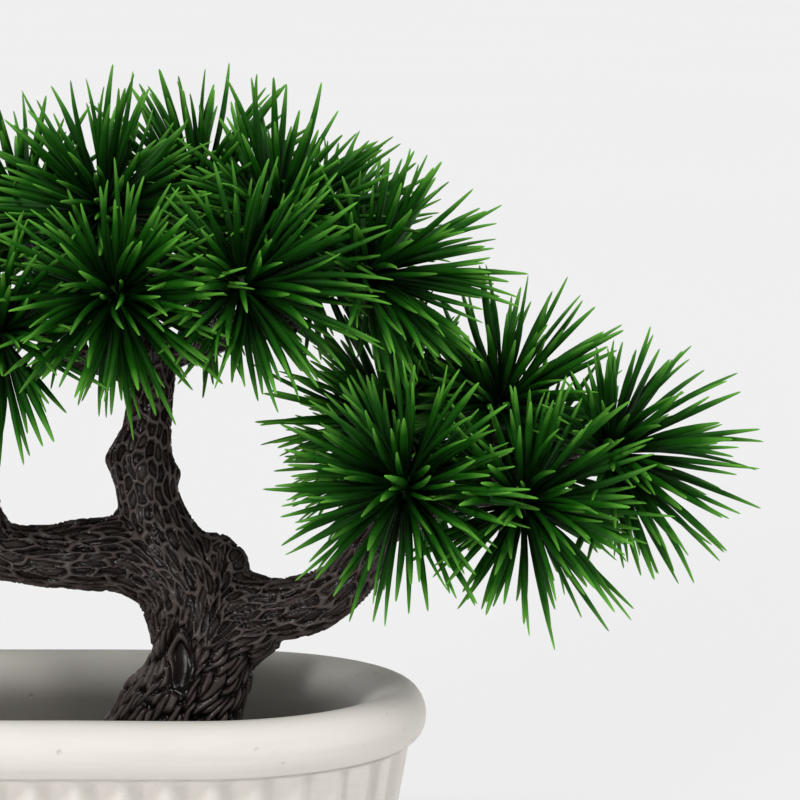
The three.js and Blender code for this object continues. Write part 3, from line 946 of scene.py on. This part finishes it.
class Tuft:
    """A needle head's mesh while it is being built, with each vertex's place along its needle and tone."""

    def __init__(self):
        self.vertices, self.faces, self.along, self.tone = [], [], [], []

    def add_rings(self, rings, along, tone, capped):
        start = len(self.vertices)
        sides = len(rings[0])
        for ring, share in zip(rings, along):
            self.vertices += ring
            self.along += [share] * sides
        self.tone += [tone] * (len(rings) * sides)
        faces = ring_faces(len(rings), sides)
        if capped:
            faces += [tuple(range(sides)), tuple(range((len(rings) - 1) * sides, len(rings) * sides))]
        self.faces += [tuple(start + corner for corner in face) for face in faces]


def boss_rings(hub, turn):
    rings = []
    for radius, height in BOSS_OUTLINE:
        angles = np.arange(BOSS_SIDES) * math.tau / BOSS_SIDES
        ring = [Vector((radius * math.cos(a), radius * math.sin(a), height)) for a in angles]
        rings.append([turn @ (point * MM) + hub for point in ring])
    return rings


def needle_rings(hub, turn, polar, azimuth, rng):
    """A tapered needle of a slightly flattened section, bent sideways and drooping a little."""
    direction = turn @ Vector((
        math.sin(polar) * math.cos(azimuth), math.sin(polar) * math.sin(azimuth), math.cos(polar)))
    length = needle_reach(polar) * rng.uniform(*NEEDLE_LENGTHS)
    width = NEEDLE_HALF_WIDTH * rng.uniform(*NEEDLE_WIDTHS)
    sideways = direction.cross(Vector((rng.gauss(0, 1), rng.gauss(0, 1), rng.gauss(0, 1)))).normalized()
    bend = sideways * rng.uniform(*NEEDLE_BENDS) - NEEDLE_DROOP
    broad = direction.cross(sideways.lerp(Vector((0, 0, 1)), NEEDLE_LEVEL)).normalized()
    thin = broad.cross(direction) * NEEDLE_THICK
    rings = []
    for t, swell in zip(NEEDLE_STATIONS, NEEDLE_SWELL):
        centre = hub + direction * length * (NEEDLE_ROOT + (1 - NEEDLE_ROOT) * t) + bend * length * t * t
        ring = []
        for side in range(NEEDLE_SIDES):
            angle = math.tau * side / NEEDLE_SIDES
            ring.append(centre + (broad * math.cos(angle) + thin * math.sin(angle)) * width * swell)
        rings.append(ring)
    return rings


def needle_head(name, material, rng):
    """A moulded boss with its needles spread evenly round it, out to a little behind its sides."""
    hub, axis = head_place(name)
    turn = axis.to_track_quat("Z", "Y").to_matrix()
    tuft = Tuft()
    # The boss takes the colour by the hub and the darkest tone: painted shade.
    tuft.add_rings(boss_rings(hub, turn), [BOSS_ALONG] * len(BOSS_OUTLINE), 1.0, capped=False)
    lowest = math.cos(WIDEST_POLAR)
    for i in range(NEEDLES_PER_HEAD):
        even = math.acos(1 - (1 - lowest) * ((i + 0.5) / NEEDLES_PER_HEAD))
        polar = even + rng.gauss(0, POLAR_SCATTER)
        azimuth = i * GOLDEN_ANGLE + rng.gauss(0, AZIMUTH_SCATTER)
        rings = needle_rings(hub, turn, polar, azimuth, rng)
        tuft.add_rings(rings, NEEDLE_STATIONS, rng.random(), capped=True)
    made = mesh_object(f"needles_{name}_tuft", tuft.vertices, tuft.faces)
    store(made.data, "along", tuft.along)
    store(made.data, "tone", tuft.tone)
    face_outward(made)
    return dress(made, f"head_{name}", "needles", material, f"needles_{name}")


# ---- Studio ----
def studio_floor():
    corners = [(x * FLOOR_HALF, y * FLOOR_HALF, 0) for x, y in ((-1, -1), (1, -1), (1, 1), (-1, 1))]
    floor = mesh_object("Floor", corners, [(0, 1, 2, 3)], smooth=False)
    finish_mesh(floor.data, floor_material())


def sun(name, azimuth, elevation, strength, spread):
    light = bpy.data.lights.new(name, "SUN")
    light.energy = strength
    light.angle = math.radians(spread)
    a, e = math.radians(azimuth), math.radians(elevation)
    towards = Vector((math.cos(e) * math.sin(a), -math.cos(e) * math.cos(a), math.sin(e)))
    add_to_scene(name, light).rotation_euler = towards.to_track_quat("Z", "Y").to_euler()


def studio_world():
    """Even light from all round, seen past the floor's far edge as a backdrop as pale as the floor."""
    world = bpy.data.worlds.new("Studio")
    world.use_nodes = True
    nodes, links = world.node_tree.nodes, world.node_tree.links
    lighting = nodes["Background"]
    backdrop = nodes.new("ShaderNodeBackground")
    for background, strength in ((lighting, WORLD_STRENGTH), (backdrop, BACKDROP_BRIGHTNESS)):
        background.inputs["Color"].default_value = (1, 1, 1, 1)
        background.inputs["Strength"].default_value = strength
    seen = nodes.new("ShaderNodeLightPath").outputs["Is Camera Ray"]
    either = nodes.new("ShaderNodeMixShader")
    links.new(seen, either.inputs["Fac"])
    links.new(lighting.outputs["Background"], either.inputs[1])
    links.new(backdrop.outputs["Background"], either.inputs[2])
    links.new(either.outputs["Shader"], nodes["World Output"].inputs["Surface"])
    return world


def studio():
    studio_floor()
    for settings in SUNS:
        sun(*settings)
    bpy.context.scene.world = studio_world()
    bpy.context.scene.view_settings.view_transform = "Standard"


def camera():
    data = bpy.data.cameras.new("Camera")
    data.lens = LENS
    data.sensor_width = SENSOR_WIDTH
    data.clip_end = CAMERA_CLIP
    data.dof.use_dof = False
    made = add_to_scene("Camera", data)
    aim = Vector((AIM_SHARE * planter_corner.x, 0, CREST + AIM_HEIGHT))
    away = Vector((0, -math.cos(CAMERA_ELEVATION), math.sin(CAMERA_ELEVATION)))
    made.location = aim + away * CAMERA_DISTANCE
    made.rotation_euler = away.to_track_quat("Z", "Y").to_euler()
    bpy.context.scene.camera = made


camera()
studio()
planter(ceramic_material())
liner(plastic_material())
gravel(stone_material("Pea_Gravel", (0.2, 0.185, 0.165), (0.5, 0.47, 0.43), scale=150, roughness=0.75))
cement = stone_material("Cast_Cement", (0.2, 0.19, 0.18), (0.34, 0.33, 0.31), scale=90, roughness=0.85)
finish_mesh(frame["nodes"]["cement_ballast"].data, cement)
finish_mesh(frame["nodes"]["core_rod"].data, steel_material())
# Bark colours from groove to hollow to ridge: the near-black groove colour is painted shade and the pale ridge
# colour is painted light.
tree_wood(
    bark_material("Bark_Moulding", (0.0018, 0.0005, 0.0003), (0.015, 0.009, 0.0078), (0.105, 0.083, 0.077)),
    bark_material("Twig_Moulding", (0.003, 0.0012, 0.001), (0.02, 0.012, 0.01), (0.05, 0.038, 0.034)),
)
green = needle_material()
needle_rng = random.Random(3)
for head in head_names:
    needle_head(head, green, needle_rng)
